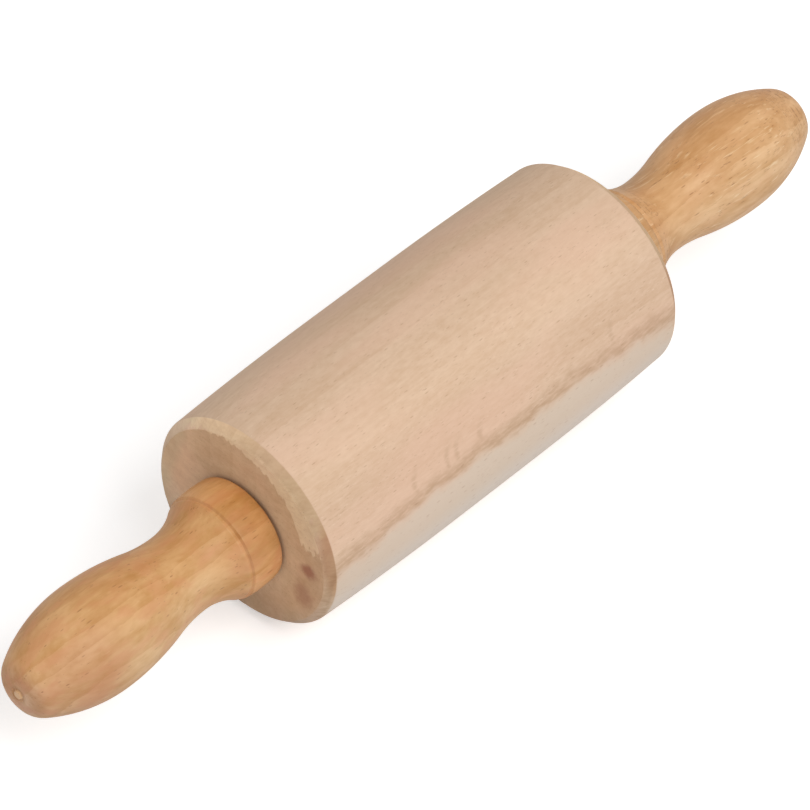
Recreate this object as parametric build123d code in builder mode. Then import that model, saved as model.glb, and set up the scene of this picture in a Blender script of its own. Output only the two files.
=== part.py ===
from build123d import *
import os

# A small handled rolling pin. The roller turns on a steel rod, whose ends are driven into the two handles.
# All sizes are in millimetres. X is the pin's axis, the origin is the middle of the roller, and +Z is up.

# Roller
roller_radius = 24.6
roller_length = 103.0
land_length = 24.0  # straight middle of the barrel, before it eases towards its ends
end_ease = 0.8  # how much the radius has dropped where the chamfer starts
chamfer_along = 2.0
chamfer_in = 1.65
bore_radius = 4.0

# Bushes, pressed into the roller flush with its ends
bush_wall = 1.95
bush_length = 15.0
bush_lead = 0.6  # chamfer that starts the bush in its seat
flange_radius = 7.5
flange_thickness = 1.5
rod_clearance = 0.05  # running clearance between the rod and the bush

# Rod
rod_radius = 3.0
rod_grip = 34.0  # length of rod inside each handle
rod_point = 0.8  # chamfer on the rod's ends
barb_count = 4
barb_pitch = 3.0
barb_width = 1.4
barb_depth = 0.3

# Washers between the bushes and the handles
washer_radius = 7.0
washer_thickness = 0.55
washer_clearance = 0.2  # round the rod
end_float = 0.1  # running clearance between the washer and the bush

# Handle, with its places measured along the axis from its inner face
handle_length = 61.2
collar_face_radius = 11.65
collar_radius = 12.0
collar_swell_at = 4.2
collar_edge = 0.4  # easing of the collar's inner edge
lip_radius = 11.85  # collar where the scribed ring is cut
ring_at = 8.2
ring_width = 0.9
ring_depth = 0.6
cove_radius = 11.4  # start of the cove, just past the scribed ring
neck_share = 0.28  # place of the neck along the handle
neck_radius = 8.75
bend_share = 0.35  # where the hollow of the neck turns into the swell, between neck and bulb
bulb_share = 0.66  # place of the bulb along the handle
bulb_radius = 11.7
nose_radius = 7.3
cap_radius = 5.4  # nearly flat end, where the handle was parted off
cap_rise = 0.3
nub_radius = 1.05  # stub that the lathe centre leaves at the tip
nub_height = 0.3
nub_edge = 0.12
moat_width = 0.55  # turned hollow round the nub
moat_depth = 0.25
bore_spare = 2.0  # air behind the end of the rod
drill_point = 1.7  # height of the cone that the drill leaves

# Sizes and places that follow
cut_overrun = rod_radius
face_x = roller_length / 2
collar_x = face_x + end_float + washer_thickness
rod_end_x = collar_x + rod_grip
bush_bore_radius = rod_radius + rod_clearance
bush_radius = bush_bore_radius + bush_wall
land_x = land_length / 2
rim_x = face_x - chamfer_along
rim_radius = roller_radius - end_ease
flat_radius = rim_radius - chamfer_in
nub_at = handle_length - nub_height
cap_at = nub_at - cap_rise
neck_at = handle_length * neck_share
bulb_at = handle_length * bulb_share
cove_at = ring_at + ring_width / 2
bore_depth = rod_grip + bore_spare

# Points of the handle's outline where one arc runs into the next
neck = Vector(neck_at, neck_radius)
bulb = Vector(bulb_at, bulb_radius)
bend = neck + (bulb - neck) * bend_share
nose_centre = Vector(cap_at - (nose_radius**2 - cap_radius**2) ** 0.5, 0)
nose_run = nose_centre.X - bulb_at
shoulder_radius = (nose_run**2 + bulb_radius**2 - nose_radius**2) / (2 * (bulb_radius - nose_radius))
shoulder_centre = Vector(bulb_at, bulb_radius - shoulder_radius)
nose_way = (nose_centre - shoulder_centre).normalized()  # from the shoulder's centre through the nose's
shoulder = nose_centre + nose_way * nose_radius
rim = Vector(cap_at, cap_radius)

os.makedirs("parts", exist_ok=True)

# Roller: a barrel with a straight middle and an arc to each rim, bored through and recessed for the bushes
with BuildPart() as roller:
    with BuildSketch(Plane.XZ):
        with BuildLine():
            Line((-land_x, roller_radius), (land_x, roller_radius))
            TangentArc((land_x, roller_radius), (rim_x, rim_radius), tangent=(1, 0))
            Polyline(
                (rim_x, rim_radius),
                (face_x, flat_radius),
                (face_x, bore_radius),
                (-face_x, bore_radius),
                (-face_x, flat_radius),
                (-rim_x, rim_radius),
            )
            TangentArc((-land_x, roller_radius), (-rim_x, rim_radius), tangent=(-1, 0))
        make_face()
    revolve(axis=Axis.X)
    for side in (-1, 1):
        with BuildSketch(Plane.YZ.offset(side * face_x)):
            Circle(bush_radius)
        extrude(amount=-side * bush_length, mode=Mode.SUBTRACT)
        with BuildSketch(Plane.YZ.offset(side * face_x)):
            Circle(flange_radius)
        extrude(amount=-side * flange_thickness, mode=Mode.SUBTRACT)
roller.part.label = "roller"
export_step(roller.part, "parts/roller.step")

# Rod, with saw-toothed rings turned into both ends so that it can't pull out of the handles
with BuildPart() as axle:
    with BuildSketch(Plane.YZ.offset(-rod_end_x)):
        Circle(rod_radius)
    extrude(amount=2 * rod_end_x)
    chamfer(axle.edges().filter_by(GeomType.CIRCLE), length=rod_point)
    for side in (-1, 1):
        for barb in range(barb_count):
            barb_x = side * (rod_end_x - rod_point - (barb + 1) * barb_pitch)
            with BuildSketch(Plane.XZ):
                with BuildLine():
                    Polyline(
                        (barb_x, rod_radius),
                        (barb_x + side * barb_width, rod_radius - barb_depth),
                        (barb_x + side * barb_width, rod_radius + cut_overrun),
                        (barb_x, rod_radius + cut_overrun),
                        close=True,
                    )
                make_face()
            revolve(axis=Axis.X, mode=Mode.SUBTRACT)
axle.part.label = "axle"
export_step(axle.part, "parts/axle.step")

for hand, side in (("left", -1), ("right", 1)):
    # In these planes x runs outwards along the pin's axis, and y is the radius
    at_face = Plane(origin=(side * face_x, 0, 0), x_dir=(side, 0, 0), z_dir=(0, -side, 0))
    at_collar = Plane(origin=(side * collar_x, 0, 0), x_dir=(side, 0, 0), z_dir=(0, -side, 0))
    tip = Plane(origin=(side * (collar_x + nub_at), 0, 0), z_dir=(side, 0, 0))

    # Flanged bush
    with BuildPart() as bush:
        with BuildSketch(at_face):
            with BuildLine():
                Polyline(
                    (0, bush_bore_radius),
                    (0, flange_radius),
                    (-flange_thickness, flange_radius),
                    (-flange_thickness, bush_radius),
                    (bush_lead - bush_length, bush_radius),
                    (-bush_length, bush_radius - bush_lead),
                    (-bush_length, bush_bore_radius),
                    close=True,
                )
            make_face()
        revolve(axis=Axis.X)
    bush.part.label = f"{hand}_bush"
    export_step(bush.part, f"parts/{hand}_bush.step")

    # Washer, against the handle's inner face
    with BuildPart() as washer:
        with BuildSketch(Plane(origin=at_collar.origin, z_dir=(-side, 0, 0))):
            Circle(washer_radius)
            Circle(rod_radius + washer_clearance, mode=Mode.SUBTRACT)
        extrude(amount=washer_thickness)
    washer.part.label = f"{hand}_washer"
    export_step(washer.part, f"parts/{hand}_washer.step")

    # Handle: one turned outline from the collar, past the scribed ring and the neck, over the bulb to the end
    with BuildPart() as handle:
        with BuildSketch(at_collar):
            with BuildLine():
                Line((0, 0), (0, collar_face_radius))
                ThreePointArc(
                    (0, collar_face_radius),
                    (collar_swell_at, collar_radius),
                    (ring_at - ring_width / 2, lip_radius),
                )
                Polyline(
                    (ring_at - ring_width / 2, lip_radius),
                    (ring_at, lip_radius - ring_depth),
                    (cove_at, cove_radius),
                )
                TangentArc(neck, (cove_at, cove_radius), tangent=(-1, 0))
                TangentArc(neck, bend, tangent=(1, 0))
                TangentArc(bulb, bend, tangent=(-1, 0))
                TangentArc(bulb, shoulder, tangent=(1, 0))
                TangentArc(shoulder, rim, tangent=(nose_way.Y, -nose_way.X))
                TangentArc((nub_at, 0), rim, tangent=(0, 1))
                Line((nub_at, 0), (0, 0))
            make_face()
        revolve(axis=Axis.X)
        inner_edge = handle.edges().filter_by(GeomType.CIRCLE).sort_by_distance(at_collar.origin)[0]
        chamfer(inner_edge, length=collar_edge)

        # Stub of the lathe centre, standing in its turned hollow
        with BuildSketch(tip):
            Circle(nub_radius + moat_width)
        extrude(amount=-moat_depth, mode=Mode.SUBTRACT)
        with BuildSketch(tip.offset(-moat_depth)):
            Circle(nub_radius)
        extrude(amount=moat_depth + nub_height)
        nub_rim = handle.edges().filter_by(GeomType.CIRCLE).sort_by(Axis.X, reverse=side > 0)[0]
        chamfer(nub_rim, length=nub_edge)

        # Blind bore for the rod, with the cone that a drill leaves
        with BuildSketch(at_collar):
            with BuildLine():
                Polyline(
                    (0, 0),
                    (0, rod_radius),
                    (bore_depth, rod_radius),
                    (bore_depth + drill_point, 0),
                    close=True,
                )
            make_face()
        revolve(axis=Axis.X, mode=Mode.SUBTRACT)
    handle.part.label = f"{hand}_handle"
    export_step(handle.part, f"parts/{hand}_handle.step")
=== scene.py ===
import math
from types import SimpleNamespace

import bmesh
import bpy
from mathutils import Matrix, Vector


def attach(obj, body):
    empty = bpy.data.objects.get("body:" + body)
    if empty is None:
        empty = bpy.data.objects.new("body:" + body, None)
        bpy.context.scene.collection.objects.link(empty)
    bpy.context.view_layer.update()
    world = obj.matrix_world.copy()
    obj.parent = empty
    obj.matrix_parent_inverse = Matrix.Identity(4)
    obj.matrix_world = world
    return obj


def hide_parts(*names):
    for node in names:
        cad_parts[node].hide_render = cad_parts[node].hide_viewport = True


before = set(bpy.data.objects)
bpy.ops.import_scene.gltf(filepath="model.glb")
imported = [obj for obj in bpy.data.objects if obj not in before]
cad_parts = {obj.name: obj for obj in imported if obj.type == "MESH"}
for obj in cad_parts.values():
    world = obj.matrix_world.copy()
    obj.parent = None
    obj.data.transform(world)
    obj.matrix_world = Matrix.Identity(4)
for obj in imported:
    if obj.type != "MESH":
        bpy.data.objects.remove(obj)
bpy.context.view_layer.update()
print("frame loaded with", len(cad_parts), "CAD nodes")

# Everything is in metres, in the frame of the CAD part: X is the pin's axis and Z is up.
# Patterns in the wood are in mm.

mmInMetre = 1000.0
touching = 1e-6  # points nearer than this are one


# Small helpers for the scene and for shader and geometry trees

def addObject(name, data):
    made = bpy.data.objects.new(name, data)
    bpy.context.scene.collection.objects.link(made)
    return made


def newMaterial(name):
    material = bpy.data.materials.new(name)
    material.use_nodes = True
    return material, material.node_tree


def addNode(tree, kind, **settings):
    made = tree.nodes.new(kind)
    for key, value in settings.items():
        setattr(made, key, value)
    return made


def feed(tree, socket, value):  # another node's output is linked, anything else is typed in
    if isinstance(value, bpy.types.NodeSocket):
        tree.links.new(value, socket)
    else:
        socket.default_value = value


def feedAll(tree, made, values):
    for name, value in values.items():
        feed(tree, made.inputs[name], value)
    return made


def feedInOrder(tree, sockets, values):
    for socket, value in zip(sockets, values):
        feed(tree, socket, value)


def calc(tree, operation, *values):
    made = addNode(tree, "ShaderNodeMath", operation=operation)
    feedInOrder(tree, made.inputs, values)
    return made.outputs[0]


def product(tree, first, *others):
    for other in others:
        first = calc(tree, "MULTIPLY", first, other)
    return first


def opposite(tree, share):  # what is left of 1
    return calc(tree, "SUBTRACT", 1.0, share)


def hypotenuse(tree, *sides):
    squares = [calc(tree, "POWER", side, 2.0) for side in sides]
    return calc(tree, "SQRT", calc(tree, "ADD", *squares))


def softStep(tree, value, low, high, start=0.0, end=1.0):
    made = addNode(tree, "ShaderNodeMapRange", interpolation_type="SMOOTHSTEP")
    feedInOrder(tree, made.inputs, (value, low, high, start, end))
    return made.outputs[0]


def mixColour(tree, share, first, second, blend="MIX"):
    made = addNode(tree, "ShaderNodeMix", data_type="RGBA", blend_type=blend)
    colours = [s for s in made.inputs if s.type == "RGBA"]
    feedInOrder(tree, (made.inputs[0], *colours), (share, first, second))
    return next(s for s in made.outputs if s.type == "RGBA")


def vectorCalc(tree, operation, *values):
    made = addNode(tree, "ShaderNodeVectorMath", operation=operation)
    feedInOrder(tree, made.inputs, values)
    return made.outputs["Value" if operation in ("DISTANCE", "DOT_PRODUCT", "LENGTH") else "Vector"]


def splitXyz(tree, vector):
    made = addNode(tree, "ShaderNodeSeparateXYZ")
    feed(tree, made.inputs[0], vector)
    return made.outputs


def joinXyz(tree, *values):
    made = addNode(tree, "ShaderNodeCombineXYZ")
    feedInOrder(tree, made.inputs, values)
    return made.outputs[0]


def noise(tree, vector, detail=2.0, roughness=0.5):
    made = addNode(tree, "ShaderNodeTexNoise")
    feedAll(tree, made, {"Vector": vector, "Scale": 1.0, "Detail": detail, "Roughness": roughness})
    return made.outputs[0]


def sway(tree, vector, detail=2.0, roughness=0.5):  # noise that goes to both sides of zero
    return calc(tree, "SUBTRACT", noise(tree, vector, detail, roughness), 0.5)


def colour(red, green, blue):  # a colour as it shows on screen, 0 to 255, to Blender's linear values
    shares = [c / 255 for c in (red, green, blue)]
    return (*[c / 12.92 if c <= 0.04045 else ((c + 0.055) / 1.055) ** 2.4 for c in shares], 1.0)


# Outlines that are turned on the lathe: points of (place along the axis, radius)

def arcPoints(start, tangent, end, spacing):  # the arc that leaves start along tangent and reaches end
    start, tangent, end = Vector(start), Vector(tangent).normalized(), Vector(end)
    chord, normal = end - start, Vector((-tangent.y, tangent.x))
    reach = chord.dot(normal)
    if abs(reach) < 1e-9:  # straight
        count = max(1, math.ceil(chord.length / spacing))
        return [start + chord * (i / count) for i in range(count + 1)]
    radius = chord.length_squared / (2 * reach)
    centre = start + normal * radius
    arm = start - centre
    sweep = 2 * math.atan2(reach, chord.dot(tangent))
    count = max(2, math.ceil(abs(radius * sweep) / spacing))
    points = []
    for i in range(count + 1):
        turn = sweep * i / count
        c, s = math.cos(turn), math.sin(turn)
        points.append(centre + Vector((arm.x * c - arm.y * s, arm.x * s + arm.y * c)))
    return points


def linePoints(start, end, spacing):
    return arcPoints(start, Vector(end) - Vector(start), end, spacing)


def curvePoints(first, peak, last, count):  # leaves first towards peak and reaches last from it
    steps = [i / count for i in range(count + 1)]
    return [first * (1 - t) ** 2 + peak * (2 * t * (1 - t)) + last * t**2 for t in steps]


def roundCorner(before, corner, after, size, count=4):  # starts and ends size away from the corner
    corner = Vector(corner)
    first = corner + (Vector(before) - corner).normalized() * size
    last = corner + (Vector(after) - corner).normalized() * size
    return curvePoints(first, corner, last, count)


def blendCorner(before, after, count=7):  # leaves one run of points and eases into the next
    first, last = before[-1], after[0]
    leaving, arriving = first - before[-2], after[1] - last
    across = leaving.x * arriving.y - leaving.y * arriving.x
    reach = ((last - first).x * arriving.y - (last - first).y * arriving.x) / across
    return curvePoints(first, first + leaving * reach, last, count)


def joinOutline(*runs):
    outline = []
    for run in runs:
        for point in run:
            point = Vector(point)
            if not outline or (point - outline[-1]).length > touching:
                outline.append(point)
    return outline


# The lathe: a geometry tree that turns an outline about X

def buildLathe():
    tree = bpy.data.node_groups.new("lathe", "GeometryNodeTree")
    sockets = tree.interface
    sockets.new_socket("Outline", in_out="INPUT", socket_type="NodeSocketGeometry")
    for name, kind, value in (
        ("Steps Round", "NodeSocketInt", 192),
        ("Waver Depth", "NodeSocketFloat", 0.0),
        ("Waver Length", "NodeSocketFloat", 0.01),
        ("Fray Depth", "NodeSocketFloat", 0.0),
        ("Fray Count", "NodeSocketFloat", 12.0),
        ("Fray Along", "NodeSocketFloat", 90.0),
        ("Sharp Edge", "NodeSocketFloat", 0.6),
        ("Seed", "NodeSocketInt", 1),
        ("Seed Step", "NodeSocketFloat", 7.31),
    ):
        sockets.new_socket(name, in_out="INPUT", socket_type=kind).default_value = value
    sockets.new_socket("Finish", in_out="INPUT", socket_type="NodeSocketMaterial")
    sockets.new_socket("Turned", in_out="OUTPUT", socket_type="NodeSocketGeometry")
    given = addNode(tree, "NodeGroupInput").outputs
    result = addNode(tree, "NodeGroupOutput")

    # A grid with one row for each point of the outline, and one column for each step round
    size = addNode(tree, "GeometryNodeAttributeDomainSize", component="MESH")
    feedAll(tree, size, {"Geometry": given["Outline"]})
    columns = calc(tree, "ADD", given["Steps Round"], 1.0)
    grid = addNode(tree, "GeometryNodeMeshGrid")
    feedAll(tree, grid, {"Vertices X": size.outputs["Point Count"], "Vertices Y": columns})
    index = addNode(tree, "GeometryNodeInputIndex").outputs[0]
    row = calc(tree, "FLOOR", calc(tree, "DIVIDE", calc(tree, "ADD", index, 0.5), columns))
    column = calc(tree, "SUBTRACT", index, calc(tree, "MULTIPLY", row, columns))
    share = calc(tree, "DIVIDE", column, given["Steps Round"])
    turn = calc(tree, "MULTIPLY", share, math.tau)
    cosine, sine = calc(tree, "COSINE", turn), calc(tree, "SINE", turn)

    # What the outline says at that row
    def sample(kind, value):
        made = addNode(tree, "GeometryNodeSampleIndex", data_type=kind, domain="POINT")
        feedAll(tree, made, {"Geometry": given["Outline"], "Index": row})
        feed(tree, made.inputs[1], value)
        return made.outputs[0]

    position = addNode(tree, "GeometryNodeInputPosition").outputs[0]
    along, _, radius = splitXyz(tree, sample("FLOAT_VECTOR", position))
    fray = addNode(tree, "GeometryNodeInputNamedAttribute", data_type="FLOAT")
    fray.inputs["Name"].default_value = "fray"
    frayShare = sample("FLOAT", fray.outputs[0])

    # A slow waver in the cut, only ever inwards
    length = given["Waver Length"]
    seedShift = calc(tree, "MULTIPLY", given["Seed"], given["Seed Step"])
    waver = noise(tree, joinXyz(
        tree,
        calc(tree, "ADD", calc(tree, "DIVIDE", along, length), seedShift),
        calc(tree, "DIVIDE", calc(tree, "MULTIPLY", radius, cosine), length),
        calc(tree, "DIVIDE", calc(tree, "MULTIPLY", radius, sine), length),
    ), detail=1.0)
    waverCut = product(tree, waver, given["Waver Depth"], radius)

    # An arris that the lathe tore as it cut across the end grain
    torn = noise(tree, joinXyz(
        tree,
        calc(tree, "MULTIPLY", cosine, given["Fray Count"]),
        calc(tree, "MULTIPLY", sine, given["Fray Count"]),
        calc(tree, "ADD", seedShift, calc(tree, "MULTIPLY", along, given["Fray Along"])),
    ), detail=4.0, roughness=0.6)
    frayCut = product(tree, torn, given["Fray Depth"], frayShare)
    cutRadius = calc(tree, "SUBTRACT", calc(tree, "SUBTRACT", radius, waverCut), frayCut)

    placed = addNode(tree, "GeometryNodeSetPosition")
    level, height = calc(tree, "MULTIPLY", cutRadius, cosine), calc(tree, "MULTIPLY", cutRadius, sine)
    feedAll(tree, placed, {"Geometry": grid.outputs["Mesh"], "Position": joinXyz(tree, along, level, height)})
    closed = addNode(tree, "GeometryNodeMergeByDistance")
    feedAll(tree, closed, {"Geometry": placed.outputs[0], "Distance": touching})
    smooth = addNode(tree, "GeometryNodeSetShadeSmooth", domain="FACE")
    feedAll(tree, smooth, {"Geometry": closed.outputs[0], "Shade Smooth": True})
    angle = addNode(tree, "GeometryNodeInputMeshEdgeAngle").outputs["Unsigned Angle"]
    sharp = addNode(tree, "GeometryNodeSetShadeSmooth", domain="EDGE")
    isSharp = calc(tree, "GREATER_THAN", angle, given["Sharp Edge"])
    feedAll(tree, sharp, {"Geometry": smooth.outputs[0], "Selection": isSharp, "Shade Smooth": False})
    real = addNode(tree, "GeometryNodeRealizeInstances")
    feedAll(tree, real, {"Geometry": sharp.outputs[0]})
    finish = addNode(tree, "GeometryNodeSetMaterial")
    feedAll(tree, finish, {"Geometry": real.outputs[0], "Material": given["Finish"]})
    feed(tree, result.inputs[0], finish.outputs[0])
    return tree


def turnPiece(name, outline, cut, finish, frayAt=()):
    mesh = bpy.data.meshes.new(name)
    edges = [(i, i + 1) for i in range(len(outline) - 1)]
    mesh.from_pydata([(p.x, 0, p.y) for p in outline], edges, [])
    marks = mesh.attributes.new("fray", "FLOAT", "POINT")
    for i, p in enumerate(outline):
        marks.data[i].value = float(any((p - Vector(q)).length < touching for q in frayAt))
    blank = addObject(name + "Outline", mesh)
    modifier = blank.modifiers.new("lathe", "NODES")
    modifier.node_group = lathe
    inputs = [item for item in lathe.interface.items_tree if item.in_out == "INPUT"]
    names = {item.name: item.identifier for item in inputs}
    for key, value in {**cut, "Finish": finish}.items():
        modifier[names[key]] = value
    depsgraph = bpy.context.evaluated_depsgraph_get()
    turned = bpy.data.meshes.new_from_object(blank.evaluated_get(depsgraph))
    bpy.data.objects.remove(blank)
    shell = bmesh.new()
    shell.from_mesh(turned)
    bmesh.ops.recalc_face_normals(shell, faces=shell.faces)
    shell.to_mesh(turned)
    shell.free()
    turned.name = name
    print(name, "turned,", len(turned.polygons), "faces")
    return addObject(name, turned)


lathe = buildLathe()


# Solid beech, laid out in mm in the piece's own coordinates. Each part of the pattern is a function that
# takes the colour so far and gives it back with that part added

beechHabit = {  # the same in every piece, mostly from and to for a soft step
    "flatFacing": (0.7, 0.95),  # a flat end, past any bevel
    "lateWood": (0.55, 0.97),  # where in a ring it darkens
    "blushFrom": (0.42, 0.68),
    "fleckChance": (0.3, 0.8),
    "fleckCore": 0.45,  # share of a fleck that is fully dark
    "tornFacing": (0.55, 0.15),
    "blotchFrom": (0.38, 0.66),
    "fibreRelief": 0.5,
    "reliefDepth": 0.00006,  # in metres
}


def stretched(tree, field, size):  # the grain's coordinates with a unit of that many mm each way
    return vectorCalc(tree, "DIVIDE", field.grain, size)


def inRays(tree, field, size):  # a unit of that many mm along the grain, round the pith and outwards
    ways = (field.along, field.around, field.outwards)
    return joinXyz(tree, *[calc(tree, "DIVIDE", way, unit) for way, unit in zip(ways, size)])


def woodFields(tree, look):  # what the pattern is made from, at each point of the surface
    field = SimpleNamespace()
    coordinate = addNode(tree, "ShaderNodeTexCoord")
    turned = addNode(tree, "ShaderNodeMapping")
    feedAll(tree, turned, {
        "Vector": coordinate.outputs["Object"],
        "Scale": [mmInMetre] * 3,
        "Rotation": look["grainTilt"],
        "Location": [-c for c in look["pith"]],
    })
    field.grain = turned.outputs[0]
    field.along, level, height = splitXyz(tree, field.grain)

    # How far the surface faces along the pin: end grain drinks the finish and shows browner
    field.towardsEnd = calc(tree, "ABSOLUTE", splitXyz(tree, coordinate.outputs["Normal"])[0])
    field.facing = softStep(tree, field.towardsEnd, *look["endFacing"])
    field.flat = softStep(tree, field.towardsEnd, *beechHabit["flatFacing"])

    # Place in mm from the middle of the pin
    field.place = vectorCalc(tree, "MULTIPLY", coordinate.outputs["Object"], [mmInMetre] * 3)
    field.placeX, field.placeY, field.placeZ = splitXyz(tree, field.place)
    field.farOut = calc(tree, "ABSOLUTE", field.placeX)
    field.offAxis = hypotenuse(tree, field.placeY, field.placeZ)

    # Distance from the pith, and the way round it, both in mm
    waver = sway(tree, stretched(tree, field, look["waverSize"]))
    field.fine = sway(tree, stretched(tree, field, look["fineWaverSize"]), detail=3.0, roughness=0.6)
    field.outwards = hypotenuse(tree, level, height)
    field.growth = calc(tree, "MULTIPLY_ADD", waver, look["waver"], field.outwards)
    field.growth = calc(tree, "MULTIPLY_ADD", field.fine, look["fineWaver"], field.growth)
    field.around = calc(tree, "MULTIPLY", calc(tree, "ARCTAN2", height, level), look["pithDistance"])

    field.cloud = sway(tree, stretched(tree, field, look["cloudSize"]))
    field.fibre = sway(tree, stretched(tree, field, look["fibreSize"]), roughness=0.6)
    field.silk = sway(tree, inRays(tree, field, look["silkSize"]), roughness=0.55)
    return field


def ringedWood(tree, look, field):  # growth rings, each a little darker where it ends, with fibres and clouds
    rings = calc(tree, "DIVIDE", field.growth, look["ringWidth"])
    ringNumber = addNode(tree, "ShaderNodeTexWhiteNoise", noise_dimensions="1D")
    feedAll(tree, ringNumber, {"W": calc(tree, "FLOOR", rings)})
    ringTone = calc(tree, "SUBTRACT", ringNumber.outputs["Value"], 0.5)
    late = softStep(tree, calc(tree, "FRACT", rings), *beechHabit["lateWood"])
    tone = calc(tree, "MULTIPLY_ADD", field.cloud, look["cloud"], 0.5)
    parts = {"ringTone": ringTone, "fibre": field.fibre, "silk": field.silk, "late": late}
    for strength, part in parts.items():
        tone = calc(tree, "MULTIPLY_ADD", part, look[strength], tone)
    wood = mixColour(tree, softStep(tree, tone, 0.0, 1.0), look["light"], look["dark"])
    patches = noise(tree, stretched(tree, field, look["blushSize"]))
    blush = softStep(tree, patches, *beechHabit["blushFrom"], 0.0, look["blush"])
    return mixColour(tree, blush, wood, look["blushColour"])


def addOuterGrowth(tree, outer, field, wood):  # paler wood behind a dark and wavy edge, with curls above it
    stepped = sway(tree, stretched(tree, field, outer["stepSize"]), roughness=0.6)
    past = calc(tree, "SUBTRACT", field.growth, outer["from"])
    past = calc(tree, "MULTIPLY_ADD", stepped, outer["step"], past)
    pale = product(tree, softStep(tree, past, *outer["fadeIn"]), opposite(tree, field.facing), outer["pale"])
    wood = mixColour(tree, pale, wood, outer["paleColour"])
    edge = product(
        tree,
        softStep(tree, past, *outer["edgeRise"]),
        softStep(tree, past, *outer["edgeFall"]),
        softStep(tree, field.silk, *outer["edgeBreaks"]),
        outer["edge"],
    )

    # Where growth rings break the surface, each curl is a part of a circle
    curls = outer["curls"]
    curl = 0.0
    for at in curls["at"]:
        away = vectorCalc(tree, "DISTANCE", field.place, (at, *curls["middle"]))
        away = calc(tree, "MULTIPLY_ADD", field.fine, curls["waver"], away)
        off = calc(tree, "ABSOLUTE", calc(tree, "SUBTRACT", away, curls["radius"]))
        side = softStep(tree, calc(tree, "SUBTRACT", field.placeX, at), *curls["side"])
        curl = calc(tree, "MAXIMUM", curl, product(tree, softStep(tree, off, *curls["width"]), side))
    for part, fading in ((past, "fadePast"), (field.placeZ, "fadeUp"), (field.silk, "breaks")):
        curl = product(tree, curl, softStep(tree, part, *curls[fading]))
    curl = product(tree, curl, curls["strength"])
    return mixColour(tree, calc(tree, "MAXIMUM", edge, curl), wood, outer["edgeColour"])


def addFlecks(tree, look, field, wood):  # short and dark, where rays end in the surface, in two sizes
    flecks = []
    for size, reach, strength, shift in look["flecks"]:
        cells = addNode(tree, "ShaderNodeTexVoronoi", feature="F1")
        moved = vectorCalc(tree, "ADD", inRays(tree, field, size), (shift, shift, shift))
        feedAll(tree, cells, {"Vector": moved, "Scale": 1.0})
        chance = addNode(tree, "ShaderNodeSeparateColor")
        feed(tree, chance.inputs[0], cells.outputs["Color"])
        spot = softStep(tree, cells.outputs["Distance"], reach, reach * beechHabit["fleckCore"])
        kept = softStep(tree, chance.outputs[0], *beechHabit["fleckChance"])
        flecks.append(product(tree, spot, kept, strength))
    fleck = calc(tree, "MAXIMUM", *flecks)
    return mixColour(tree, fleck, wood, look["fleckColour"]), fleck


def addStrokes(tree, look, field, wood):  # short, dark ones and light ones, where the tool tore the fibres
    patchy = softStep(tree, noise(tree, stretched(tree, field, look["tornSize"])), *look["tornFrom"])
    patchy = product(tree, patchy, softStep(tree, field.towardsEnd, *beechHabit["tornFacing"]))
    torn = []
    for size, low, high, strength, shade in look["strokes"]:
        stroke = softStep(tree, noise(tree, stretched(tree, field, size), roughness=0.6), low, high)
        stroke = product(tree, stroke, patchy, strength)
        wood = mixColour(tree, stroke, wood, shade)
        torn.append(stroke)
    return wood, calc(tree, "SUBTRACT", *torn)


def addToolMarks(tree, look, field, wood):  # rings that the tool leaves where it cuts across the fibres
    marks = look["toolMarks"]
    lines = addNode(tree, "ShaderNodeTexNoise", noise_dimensions="1D")
    pitch = calc(tree, "DIVIDE", field.placeX, marks["pitch"])
    feedAll(tree, lines, {"W": pitch, "Scale": 1.0, "Detail": 1.0})
    mark = product(
        tree,
        softStep(tree, lines.outputs[0], *marks["from"]),
        softStep(tree, field.towardsEnd, *marks["facing"]),
        softStep(tree, field.cloud, *marks["clouds"]),
        opposite(tree, field.facing),
        marks["strength"],
        softStep(tree, field.fibre, *marks["fibres"]),
    )
    return mixColour(tree, mark, wood, look["fleckColour"])


def addEndGrain(tree, look, field, wood):  # browner, with soft blotches
    tint = look["endTint"]
    if "crescent" in look:  # it stayed pale behind a ragged edge
        crescent = look["crescent"]
        jag = sway(tree, stretched(tree, field, crescent["jagSize"]), detail=2.5, roughness=0.55)
        aside = calc(tree, "SUBTRACT", field.placeY, crescent["centre"][0])
        above = calc(tree, "SUBTRACT", field.placeZ, crescent["centre"][1])
        away = calc(tree, "MULTIPLY_ADD", jag, crescent["jag"], hypotenuse(tree, aside, above))
        away = calc(tree, "SUBTRACT", away, crescent["radius"])
        over = calc(tree, "MULTIPLY_ADD", jag, crescent["fingers"], above)
        onBevel = calc(tree, "SUBTRACT", field.flat, 1.0)
        over = calc(tree, "MULTIPLY_ADD", onBevel, crescent["bevelFoot"], over)
        clear = product(
            tree,
            softStep(tree, away, *crescent["edge"]),
            softStep(tree, aside, *crescent["fadeAside"]),
            softStep(tree, over, *crescent["foot"]),
        )
        tint = mixColour(tree, field.flat, crescent["bevelTint"], tint)
        clearTint = mixColour(tree, field.flat, crescent["clearBevelTint"], crescent["clearTint"])
        tint = mixColour(tree, clear, tint, clearTint)
    wood = mixColour(tree, field.facing, wood, tint, "MULTIPLY")
    blotches = noise(tree, stretched(tree, field, look["blotchSize"]), detail=3.0, roughness=0.6)
    blotch = product(tree, softStep(tree, blotches, *beechHabit["blotchFrom"]), field.facing, look["blotch"])
    return mixColour(tree, blotch, wood, look["blotchColour"], "MULTIPLY")


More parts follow.
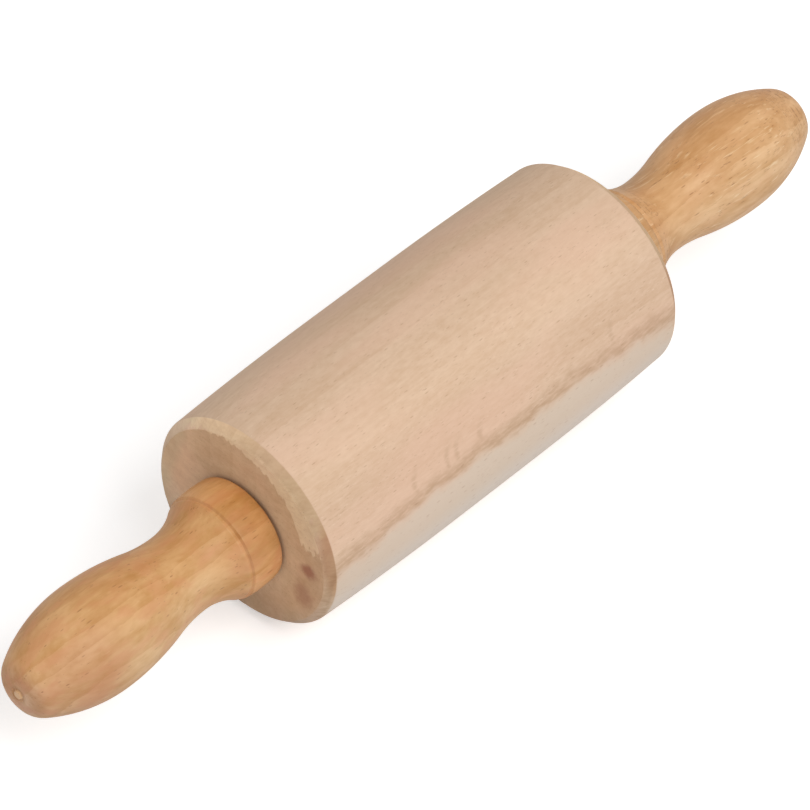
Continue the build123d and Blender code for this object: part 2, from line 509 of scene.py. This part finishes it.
def addTintsAndPaintedLight(tree, tintsAndPaintedLight, field, wood):  # slow changes of colour along a direction, or out from the axis; most of them are painted light and shade
    folded = joinXyz(tree, field.farOut, field.placeY, field.placeZ)
    for direction, low, high, shade, where in tintsAndPaintedLight:
        reach = vectorCalc(tree, "DOT_PRODUCT", folded, direction) if direction else field.offAxis
        amount = softStep(tree, reach, low, high)
        if where == "ends":
            amount = product(tree, amount, field.facing)
        elif where == "bevels":
            amount = product(tree, amount, calc(tree, "SUBTRACT", field.facing, field.flat))
        elif where:  # from and to along the pin, in mm
            amount = product(tree, amount, softStep(tree, field.farOut, *where))
        wood = mixColour(tree, amount, wood, shade, "MULTIPLY")
    return wood


def addNub(tree, nub, field, wood):  # the pale stub of the lathe centre, with painted shade darkening the hollow round it
    off = calc(tree, "ABSOLUTE", calc(tree, "SUBTRACT", field.offAxis, nub["hollowAt"]))
    hollow = product(tree, softStep(tree, off, *nub["hollowWidth"]), field.facing, nub["hollow"])
    wood = mixColour(tree, hollow, wood, nub["hollowColour"])
    top = product(tree, softStep(tree, field.offAxis, *nub["paleRadius"]), field.facing, nub["pale"])
    return mixColour(tree, top, wood, nub["paleColour"])


def addStains(tree, stains, field, wood):
    for spot, size, depth in stains["spots"]:
        away = vectorCalc(tree, "DIVIDE", vectorCalc(tree, "SUBTRACT", field.place, spot), size)
        ragged = calc(tree, "MULTIPLY_ADD", field.fine, stains["waver"], vectorCalc(tree, "LENGTH", away))
        wood = mixColour(tree, softStep(tree, ragged, *stains["edge"], 0.0, depth), wood, stains["colour"])
    return wood


def beech(name, look):
    material, tree = newMaterial(name)
    field = woodFields(tree, look)
    wood = ringedWood(tree, look, field)
    if "outerGrowth" in look:
        wood = addOuterGrowth(tree, look["outerGrowth"], field, wood)
    wood, fleck = addFlecks(tree, look, field, wood)
    wood, torn = addStrokes(tree, look, field, wood)
    if "toolMarks" in look:
        wood = addToolMarks(tree, look, field, wood)
    wood = addEndGrain(tree, look, field, wood)
    wood = addTintsAndPaintedLight(tree, look["tintsAndPaintedLight"], field, wood)
    if "nub" in look:
        wood = addNub(tree, look["nub"], field, wood)
    if "stains" in look:
        wood = addStains(tree, look["stains"], field, wood)

    sunk = calc(tree, "MULTIPLY", calc(tree, "ADD", fleck, torn), -1.0)
    relief = calc(tree, "MULTIPLY_ADD", field.fibre, beechHabit["fibreRelief"], sunk)
    bump = addNode(tree, "ShaderNodeBump")
    feedAll(tree, bump, {"Strength": look["relief"], "Distance": beechHabit["reliefDepth"], "Height": relief})
    feedAll(tree, tree.nodes["Principled BSDF"], {
        "Base Color": wood,
        "Roughness": look["roughness"],
        "Specular IOR Level": look["specular"],
        "Coat Weight": look["coat"],
        "Coat Roughness": look["coatRoughness"],
        "Normal": bump.outputs[0],
    })
    return material


# Roller

roller = {
    "radius": 0.0246,
    "halfLength": 0.0515,
    "halfLand": 0.012,  # straight middle, before the barrel eases
    "rimRadius": 0.0238,
    "rimAt": 0.0495,
    "arrisRadius": 0.02215,
    "rimRounding": 0.0003,
    "roundedShare": 0.4,  # of the bevel, next to the rim, left to the rounding
    "arrisClear": 0.0012,  # where the flat end's own points start
    "flangeRadius": 0.0075,
    "flangeDepth": 0.0015,
    "seatRadius": 0.005,
    "seatDepth": 0.015,
    "boreRadius": 0.004,
    "spacing": 0.0011,
    "boreSpacing": 0.006,
    "cut": {
        "Steps Round": 288,
        "Waver Depth": 0.0015,
        "Waver Length": 0.03,
        "Fray Depth": 0.0004,
        "Fray Count": 16.0,
        "Seed": 3,
    },
    "wood": {
        "light": colour(229, 199, 171),
        "dark": colour(208, 173, 141),
        "grainTilt": (0.0, 0.0, 0.0),
        "pith": (0.0, 58.0, 15.5),
        "pithDistance": 60.0,
        "waverSize": (70.0, 22.0, 22.0),
        "waver": 1.5,
        "fineWaverSize": (5.0, 2.0, 2.0),
        "fineWaver": 0.9,
        "ringWidth": 3.1,
        "ringTone": 0.1,
        "late": 0.07,
        "cloudSize": (50.0, 14.0, 14.0),
        "cloud": 0.6,
        "fibreSize": (10.0, 0.4, 0.4),
        "fibre": 0.3,
        "silkSize": (2.4, 0.5, 1.6),
        "silk": 0.6,
        "blushSize": (40.0, 12.0, 12.0),
        "blush": 0.4,
        "blushColour": colour(232, 192, 166),
        "outerGrowth": {
            "from": 82.7,  # in mm from the pith
            "fadeIn": (-0.2, 1.0),
            "pale": 0.85,
            "paleColour": colour(218, 200, 180),
            "stepSize": (8.0, 30.0, 30.0),
            "step": 1.2,
            "edgeRise": (-1.4, 0.0),
            "edgeFall": (0.55, 0.0),
            "edgeBreaks": (-0.25, 0.2, 0.45, 1.0),
            "edge": 0.65,
            "edgeColour": colour(184, 149, 117),
            "curls": {
                "at": (-22.4, -13.3, -10.4, -3.6, 35.0),  # in mm along the roller
                "middle": (-23.1, 8.3),
                "radius": 4.2,
                "width": (1.1, 0.05),
                "waver": 1.2,
                "side": (-1.0, -3.0),
                "fadePast": (0.4, -0.1),
                "fadeUp": (13.0, 9.0),
                "breaks": (-0.3, 0.1),
                "strength": 0.36,
            },
        },
        "flecks": (  # size, reach, strength, shift
            ((3.4, 0.7, 0.7), 0.19, 0.42, 0.0),
            ((2.4, 0.45, 0.5), 0.18, 0.3, 9.0),
        ),
        "fleckColour": colour(172, 134, 104),
        "tornSize": (30.0, 9.0, 9.0),
        "tornFrom": (0.35, 0.6),
        "strokes": (  # size, from, to, strength, colour
            ((1.6, 0.3, 0.3), 0.6, 0.76, 0.45, colour(180, 144, 114)),
            ((1.3, 0.3, 0.3), 0.62, 0.78, 0.45, colour(240, 216, 190)),
        ),
        "endFacing": (0.45, 0.62),
        "endTint": colour(250, 242, 226),
        "crescent": {
            "centre": (3.0, 1.5),  # in mm, across and up
            "radius": 19.6,
            "edge": (-0.25, 0.25),
            "jagSize": (30.0, 1.3, 3.8),
            "jag": 3.0,
            "fingers": 13.0,
            "foot": (3.9, 5.1),
            "bevelFoot": 6.0,  # how much further up the bevel it ends
            "fadeAside": (15.0, 10.5),
            "bevelTint": colour(233, 226, 218),
            "clearTint": colour(276, 280, 270),
            "clearBevelTint": colour(236, 234, 221),
        },
        "blotchSize": (40.0, 2.6, 2.0),
        "blotch": 0.5,
        "blotchColour": colour(240, 234, 232),
        "tintsAndPaintedLight": (  # direction or None for out from the axis, from, to, tint, where; most are painted light and shade
            # painted light, lighter on the far side of the end
            ((0, 1, 0), 6.0, 18.0, colour(273, 279, 287), "ends"),
            ((0, 1, -1), 16.0, 21.0, colour(262, 268, 276), "ends"),
            # a little darker at the end's far edge, taking back some of that painted light
            ((0, 1, 0.3), 18.0, 21.0, colour(238, 244, 241), "ends"),
            # these two: painted light on the upper far part of the end and of its bevel, which the lamp
            # leaves in shade
            ((0, 1, 1), 15.0, 27.0, colour(263, 263, 263), "ends"),
            ((0, 0.7, 1), 17.0, 29.5, colour(296, 298, 303), "bevels"),
            ((0, 0.3, -1), 5.0, 19.0, colour(222, 225, 230), "ends"),
            (None, 17.0, 13.0, colour(261, 269, 275), "ends"),  # painted light round the collar, against the contact shadow it casts on the end
            ((0, -0.98, 0.17), 21.0, 22.6, colour(235, 222, 209), "bevels"),
            ((0, -0.98, -0.2), 21.0, 22.6, colour(268, 276, 278), "bevels"),
            ((0, -1, -1), 26.0, 33.0, colour(259, 268, 280), None),  # painted light from the floor, paler and bluer low at the front
            # painted shade, a little darker on the front under the lamp
            ((0, -1, 0), 14.0, 21.0, colour(249, 249, 251), None),
        ),
        "stains": {
            "spots": (  # place, size, strength
                ((-51.5, -17.9, -0.5), (3.0, 3.0, 2.7), 0.7),
                ((-51.5, -16.4, -7.9), (3.0, 3.4, 4.8), 0.45),
            ),
            "edge": (1.0, 0.2),
            "waver": 0.9,
            "colour": colour(150, 84, 64),
        },
        "relief": 0.5,
        "roughness": 0.68,
        "specular": 0.3,
        "coat": 0.0,
        "coatRoughness": 0.3,
    },
}


def rollerOutline(r):
    rim, arris = Vector((r["rimAt"], r["rimRadius"])), Vector((r["halfLength"], r["arrisRadius"]))
    barrel = arcPoints((r["halfLand"], r["radius"]), (1, 0), rim, r["spacing"])
    seatAt = r["halfLength"] - r["flangeDepth"]
    bushEnd = r["halfLength"] - r["seatDepth"]
    half = joinOutline(
        linePoints((0, r["radius"]), (r["halfLand"], r["radius"]), r["spacing"]),
        barrel[:-1],
        roundCorner(barrel[-2], rim, arris, r["rimRounding"]),
        linePoints(rim + (arris - rim) * r["roundedShare"], arris, r["spacing"] / 2),
        linePoints((arris.x, arris.y - r["arrisClear"]), (arris.x, r["flangeRadius"]), r["spacing"]),
        [(seatAt, r["flangeRadius"]), (seatAt, r["seatRadius"])],
        linePoints((bushEnd, r["seatRadius"]), (bushEnd, r["boreRadius"]), r["spacing"]),
        linePoints((bushEnd, r["boreRadius"]), (0, r["boreRadius"]), r["boreSpacing"]),
    )
    mirrored = [Vector((-p.x, p.y)) for p in reversed(half)]
    return joinOutline(half, mirrored)


rollerWood = beech("rawBeech", roller["wood"])
arrises = [(side * roller["halfLength"], roller["arrisRadius"]) for side in (-1, 1)]
turnedRoller = turnPiece("turnedRoller", rollerOutline(roller), roller["cut"], rollerWood, arrises)
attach(turnedRoller, "roller")
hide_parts("roller")
print("roller done")


# Handles, with their places measured from the inner face of the collar

handle = {
    "faceAt": 0.05215,
    "faceRadius": 0.01165,
    "collarRadius": 0.012,
    "collarSwellAt": 0.0042,
    "lipRadius": 0.01185,
    "edgeRounding": 0.0003,
    "edgeClear": (0.00045, 0.00048),  # what the face's and the swell's own points leave to the rounding
    "ringAt": 0.0082,
    "ringWidth": 0.0009,
    "ringDepth": 0.00055,
    "ringRounding": (0.00012, 0.00018),  # at its lips and in its floor
    "ringTorn": 0.00072,  # how far to each side of its middle it is torn
    "coveRadius": 0.0114,
    "neck": (0.017136, 0.00875),
    "bendShare": 0.35,
    "bulb": (0.040392, 0.0117),
    "noseRadius": 0.0073,
    "capAt": 0.0606,  # rim of the nearly flat end
    "capRadius": 0.0054,
    "capRise": 0.0003,
    "capRounding": 0.0028,
    "nubRadius": 0.00105,
    "nubHeight": 0.0003,
    "nubTaper": (0.25, 0.86),  # its rim, as shares of its height and radius
    "nubDome": (0.00002, 0.35),
    "nubRounding": 0.00018,
    "moatWidth": 0.00055,
    "moatDepth": 0.00025,
    "moatRounding": 0.00012,
    "boreRadius": 0.003,
    "boreDepth": 0.036,
    "drillPoint": 0.0017,
    "sliver": 0.0001,
    "spacing": 0.0004,
    "faceSpacing": 0.001,
    "boreSpacing": 0.006,
    "cut": {
        "Steps Round": 192,
        "Waver Depth": 0.008,
        "Waver Length": 0.009,
        "Fray Count": 40.0,
        "Seed": 5,
    },
    "wood": {
        "light": colour(225, 177, 123),
        "dark": colour(195, 140, 80),
        "grainTilt": (0.0, 0.04, 0.06),
        "pith": (0.0, 24.0, 30.0),
        "pithDistance": 38.0,
        "waverSize": (30.0, 9.0, 9.0),
        "waver": 4.0,
        "fineWaverSize": (5.0, 2.0, 2.0),
        "fineWaver": 1.0,
        "ringWidth": 3.4,
        "ringTone": 0.25,
        "late": 0.14,
        "cloudSize": (12.0, 4.0, 4.0),
        "cloud": 1.1,
        "fibreSize": (7.0, 0.5, 0.5),
        "fibre": 0.22,
        "silkSize": (3.4, 0.8, 1.6),
        "silk": 0.6,
        "blushSize": (7.0, 3.0, 3.0),
        "blush": 0.55,
        "blushColour": colour(212, 148, 100),
        "fleckColour": colour(156, 104, 60),
        "tornSize": (16.0, 5.0, 5.0),
        "endFacing": (0.55, 0.97),
        "endTint": colour(244, 238, 244),
        "blotchSize": (3.0, 2.0, 2.0),
        "blotch": 0.3,
        "blotchColour": colour(240, 226, 214),
        "nub": {
            # the hollow round the stub is darkened with painted shade
            "hollowAt": 1.5,
            "hollowWidth": (0.9, 0.1),
            "hollow": 0.3,
            "hollowColour": colour(160, 112, 72),
            "paleRadius": (1.15, 0.7),
            "pale": 0.45,
            "paleColour": colour(246, 206, 160),
        },
        "relief": 0.4,
        "roughness": 0.45,
        "specular": 0.25,
        "coat": 0.1,
        "coatRoughness": 0.35,
    },
    "leftFray": 0.0001,
    "rightFray": 0.0005,
    "leftWood": {  # smooth, with few flecks
        "tintsAndPaintedLight": (
            ((0, -1, -1), -5.0, -12.0, colour(250, 243, 232), None),  # painted shade, richer and darker on the upper far side
            ((0, -1, -1), -6.0, 9.0, colour(254, 270, 296), None),  # painted light from the floor, paler and bluer low at the front
            ((1, 0, 0), 60.8, 59.8, colour(251, 243, 230), None),  # collar
            # painted light on the collar's upper far side, against the shade from the roller's end
            ((0, 1, 0), -3.0, 4.0, colour(276, 286, 308), (60.8, 59.8)),
            # painted shade on the collar's lit front top
            ((0, -0.77, 0.64), 8.0, 11.5, colour(244, 244, 242), (60.8, 59.8)),
            # painted light from the floor on the collar's low front
            ((0, -0.94, -0.34), 8.0, 11.5, colour(271, 271, 278), (60.8, 59.8)),
            ((1, 0, 0), 88.0, 110.0, colour(261, 266, 280), None),  # painted light, lighter towards the tip
            # painted highlight on the top of the bulb near the tip
            ((0, -0.34, 0.94), 8.6, 10.6, colour(263, 269, 276), (94.0, 101.0)),
            # painted shade, darker on the front towards the tip
            ((0, 1, 0), -2.0, -7.0, colour(236, 221, 210), (88.0, 102.0)),
            # painted shade, darker on the front by the collar and the cove
            ((0, 1, 0), -4.0, -8.0, colour(250, 240, 230), (72.0, 64.0)),
        ),
        "flecks": (
            ((5.0, 0.9, 0.9), 0.21, 0.58, 0.0),
            ((3.2, 0.5, 0.6), 0.19, 0.45, 9.0),
        ),
        "strokes": (
            ((3.0, 0.7, 0.7), 0.56, 0.8, 0.35, colour(184, 126, 72)),
            ((3.6, 0.8, 0.8), 0.56, 0.8, 0.35, colour(230, 184, 132)),
        ),
        "tornFrom": (0.3, 0.6),
    },
    "rightWood": {  # a little lighter, and rougher off the tool
        "light": colour(231, 185, 136),
        "dark": colour(200, 147, 92),
        "blush": 0.15,
        "tintsAndPaintedLight": (
            # painted shade, richer and darker on the upper far side
            ((0, -1, -1), -5.0, -12.0, colour(254, 248, 240), None),
            # painted light from the floor, paler and bluer low at the front
            ((0, -1, -1), -6.0, 9.0, colour(250, 260, 274), None),
            ((1, 0, 0), 60.8, 59.8, colour(251, 258, 268), None),
            # painted shade, darker on the far side of the collar and the neck
            ((0, 1, 0), -2.0, 3.0, colour(236, 241, 248), (82.0, 66.0)),
            # painted shade, darker on the front by the collar and the cove
            ((0, 1, 0), -4.0, -8.0, colour(245, 238, 230), (72.0, 64.0)),
        ),
        "flecks": (
            ((5.0, 0.8, 0.8), 0.2, 0.6, 0.0),
            ((3.2, 0.45, 0.5), 0.18, 0.5, 9.0),
        ),
        "strokes": (
            ((3.0, 0.45, 0.45), 0.6, 0.74, 0.6, colour(150, 100, 58)),
            ((9.0, 0.6, 0.6), 0.56, 0.7, 0.5, colour(248, 214, 168)),
        ),
        "tornFrom": (0.42, 0.56),
        "toolMarks": {
            "pitch": 0.5,
            "from": (0.48, 0.6),
            "facing": (0.22, 0.46),
            "clouds": (-0.13, 0.07),
            "fibres": (-0.1, 0.1),
            "strength": 0.7,
        },
        "relief": 0.8,
    },
}


def handleOutline(h):
    neck, bulb, noseRadius, step = Vector(h["neck"]), Vector(h["bulb"]), h["noseRadius"], h["spacing"]
    corner, swell = Vector((0, h["faceRadius"])), Vector((h["collarSwellAt"], h["collarRadius"]))
    faceClear, swellClear = h["edgeClear"]
    swellStart = (swellClear, h["faceRadius"] + h["sliver"])
    lip = Vector((h["ringAt"] - h["ringWidth"] / 2, h["lipRadius"]))
    floorOfRing = Vector((h["ringAt"], h["lipRadius"] - h["ringDepth"]))
    cove = Vector((h["ringAt"] + h["ringWidth"] / 2, h["coveRadius"]))
    lipRounding, floorRounding = h["ringRounding"]
    bend = neck + (bulb - neck) * h["bendShare"]

    # The shoulder's arc is tangent to the bulb and to the round nose, which ends at the cap's rim
    capRim, capTop = Vector((h["capAt"], h["capRadius"])), h["capAt"] + h["capRise"]
    noseCentre = Vector((capRim.x - math.sqrt(noseRadius**2 - capRim.y**2), 0))
    run = noseCentre.x - bulb.x
    shoulderRadius = (run**2 + bulb.y**2 - noseRadius**2) / (2 * (bulb.y - noseRadius))
    way = (noseCentre - Vector((bulb.x, bulb.y - shoulderRadius))).normalized()
    shoulder = noseCentre + way * noseRadius
    nose = arcPoints(shoulder, (way.y, -way.x), capRim, step / 2)
    front = joinOutline(arcPoints(bulb, (1, 0), shoulder, step), nose)
    front = [p for p in front if (p - capRim).length > h["capRounding"]]

    # The cap's stub stands in a turned hollow
    moatRadius, moatFloor = h["nubRadius"] + h["moatWidth"], capTop - h["moatDepth"]
    cap = arcPoints((capTop, 0), (0, 1), capRim, step / 2)[::-1]
    cap = [p for p in cap if (p - capRim).length > h["capRounding"] and p.y > moatRadius + 2 * h["sliver"]]
    nubTop = capTop + h["nubHeight"]
    rimDrop, rimShare = h["nubTaper"]
    nubRim = Vector((nubTop - h["nubHeight"] * rimDrop, h["nubRadius"] * rimShare))
    domeDrop, domeShare = h["nubDome"]
    outerFoot, innerFoot = (moatFloor, moatRadius), (moatFloor, h["nubRadius"])
    return joinOutline(
        [(h["boreDepth"] + h["drillPoint"], 0)],
        linePoints((h["boreDepth"], h["boreRadius"]), (0, h["boreRadius"]), h["boreSpacing"]),
        linePoints((0, h["boreRadius"]), (0, h["faceRadius"] - faceClear), h["faceSpacing"]),
        roundCorner((0, 0), corner, swell, h["edgeRounding"], 5),
        arcPoints(swell, (-1, 0), swellStart, step)[::-1],
        arcPoints(swell, (1, 0), lip, step),
        roundCorner(lip - Vector((step, 0)), lip, floorOfRing, lipRounding, 3),
        roundCorner(lip, floorOfRing, cove, floorRounding, 3),
        roundCorner(floorOfRing, cove, neck, lipRounding, 3),
        arcPoints(neck, (-1, 0), cove, step)[::-1][1:],
        arcPoints(neck, (1, 0), bend, step),
        arcPoints(bulb, (-1, 0), bend, step)[::-1],
        front,
        blendCorner(front, cap),
        cap,
        roundCorner(
            (capTop, moatRadius + h["sliver"]),
            (capTop, moatRadius),
            (moatFloor, moatRadius - h["sliver"]),
            h["moatRounding"],
            3,
        ),
        roundCorner(outerFoot, (moatFloor, h["nubRadius"] + h["sliver"]), nubRim, h["moatRounding"], 3),
        roundCorner(innerFoot, nubRim, (nubTop, 0), h["nubRounding"], 4),
        [(nubTop - domeDrop, h["nubRadius"] * domeShare), (nubTop, 0)],
    )


for hand, side in (("left", -1), ("right", 1)):
    handleWood = beech(hand + "Beech", {**handle["wood"], **handle[hand + "Wood"]})
    outline = [Vector((side * (handle["faceAt"] + p.x), p.y)) for p in handleOutline(handle)]
    cut = {**handle["cut"], "Seed": handle["cut"]["Seed"] + side, "Fray Depth": handle[hand + "Fray"]}
    ringPlace = handle["faceAt"] + handle["ringAt"]
    ring = [p for p in outline if abs(abs(p.x) - ringPlace) < handle["ringTorn"]]
    grip = turnPiece(hand + "Grip", outline, cut, handleWood, ring)
    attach(grip, "grips")
    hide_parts(hand + "_handle")
print("handles done")


# Rod, washers and bushes stay as CAD nodes and get their finishes

hardware = {
    "grain": (400.0, 4000.0, 4000.0),  # how fine it is each way, in spots to a metre
    "darkShare": 0.85,
    "finishes": {  # colour, metal, roughness, CAD nodes
        "brightSteel": (colour(190, 190, 190), 1.0, 0.3, ("axle",)),
        "satinSteel": (colour(180, 180, 182), 1.0, 0.42, ("left_washer", "right_washer")),
        "nylon": (colour(228, 222, 208), 0.0, 0.5, ("left_bush", "right_bush")),
    },
}

for name, (base, metal, roughness, nodes) in hardware["finishes"].items():
    material, tree = newMaterial(name)
    place = addNode(tree, "ShaderNodeTexCoord").outputs["Object"]
    spread = addNode(tree, "ShaderNodeMapping")
    feedAll(tree, spread, {"Vector": place, "Scale": hardware["grain"]})
    dark = (*[c * hardware["darkShare"] for c in base[:3]], 1.0)
    feedAll(tree, tree.nodes["Principled BSDF"], {
        "Base Color": mixColour(tree, noise(tree, spread.outputs[0]), base, dark),
        "Metallic": metal,
        "Roughness": roughness,
    })
    for node in nodes:
        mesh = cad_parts[node].data
        mesh.materials.clear()
        mesh.materials.append(material)
print("hardware finished")


# Studio: pale floor, white surroundings, one big soft lamp

studio = {
    "floorZ": -roller["radius"],
    "floorSize": 8.0,
    "floorColour": colour(240, 240, 240),
    "floorLift": 0.45,  # added for the camera alone, so that the floor shows white and keeps its shadow
    "worldLight": 0.51,
    "lampPower": 18.0,
    "lampSize": 1.2,
    "lampTowards": (-0.03, -0.66, 0.75),
    "lampDistance": 1.8,
}
white = (1.0, 1.0, 1.0, 1.0)

floorMesh = bpy.data.meshes.new("floor")
half = studio["floorSize"] / 2
corners = [(-half, -half), (half, -half), (half, half), (-half, half)]
floorMesh.from_pydata([(x, y, studio["floorZ"]) for x, y in corners], [], [(0, 1, 2, 3)])
floor = addObject("floor", floorMesh)
floorPaint, tree = newMaterial("floorPaint")
tree.nodes.remove(tree.nodes["Principled BSDF"])
diffuse = addNode(tree, "ShaderNodeBsdfDiffuse")
diffuse.inputs["Color"].default_value = studio["floorColour"]
lift = addNode(tree, "ShaderNodeEmission")
seen = addNode(tree, "ShaderNodeLightPath").outputs["Is Camera Ray"]
feedAll(tree, lift, {"Color": white, "Strength": calc(tree, "MULTIPLY", seen, studio["floorLift"])})
both = addNode(tree, "ShaderNodeAddShader")
feedInOrder(tree, both.inputs, (diffuse.outputs[0], lift.outputs[0]))
feed(tree, tree.nodes["Material Output"].inputs["Surface"], both.outputs[0])
floorMesh.materials.append(floorPaint)

# The surroundings light the pin softly and show white to the camera, in gloss and through glass
world = bpy.data.worlds.new("surroundings")
bpy.context.scene.world = world
world.use_nodes = True
tree = world.node_tree
path = addNode(tree, "ShaderNodeLightPath").outputs
direct = calc(tree, "MAXIMUM", path["Is Camera Ray"], path["Is Glossy Ray"])
direct = calc(tree, "MAXIMUM", direct, path["Is Transmission Ray"])
gain = calc(tree, "MULTIPLY_ADD", direct, 1.0 - studio["worldLight"], studio["worldLight"])
feedAll(tree, tree.nodes["Background"], {"Color": white, "Strength": gain})

towards = Vector(studio["lampTowards"]).normalized()
lampData = bpy.data.lights.new("softbox", "AREA")
lampData.energy = studio["lampPower"]
lampData.size = studio["lampSize"]
lamp = addObject("softbox", lampData)
lamp.location = towards * studio["lampDistance"]
lamp.rotation_euler = towards.to_track_quat("Z", "Y").to_euler()
bpy.context.scene.view_settings.view_transform = "Standard"
print("studio ready")


# Camera at the photograph's angle

camera = {
    "place": (-0.69988, -0.64573, 0.93465),
    "looksAlong": (0.521748, 0.484669, -0.702051),
    "focalLength": 297.64,
    "sensor": 36.0,
}
cameraData = bpy.data.cameras.new("camera")
cameraData.lens = camera["focalLength"]
cameraData.sensor_width = camera["sensor"]
eye = addObject("camera", cameraData)
eye.location = camera["place"]
eye.rotation_euler = Vector(camera["looksAlong"]).to_track_quat("-Z", "Y").to_euler()
bpy.context.scene.camera = eye
print("camera set")
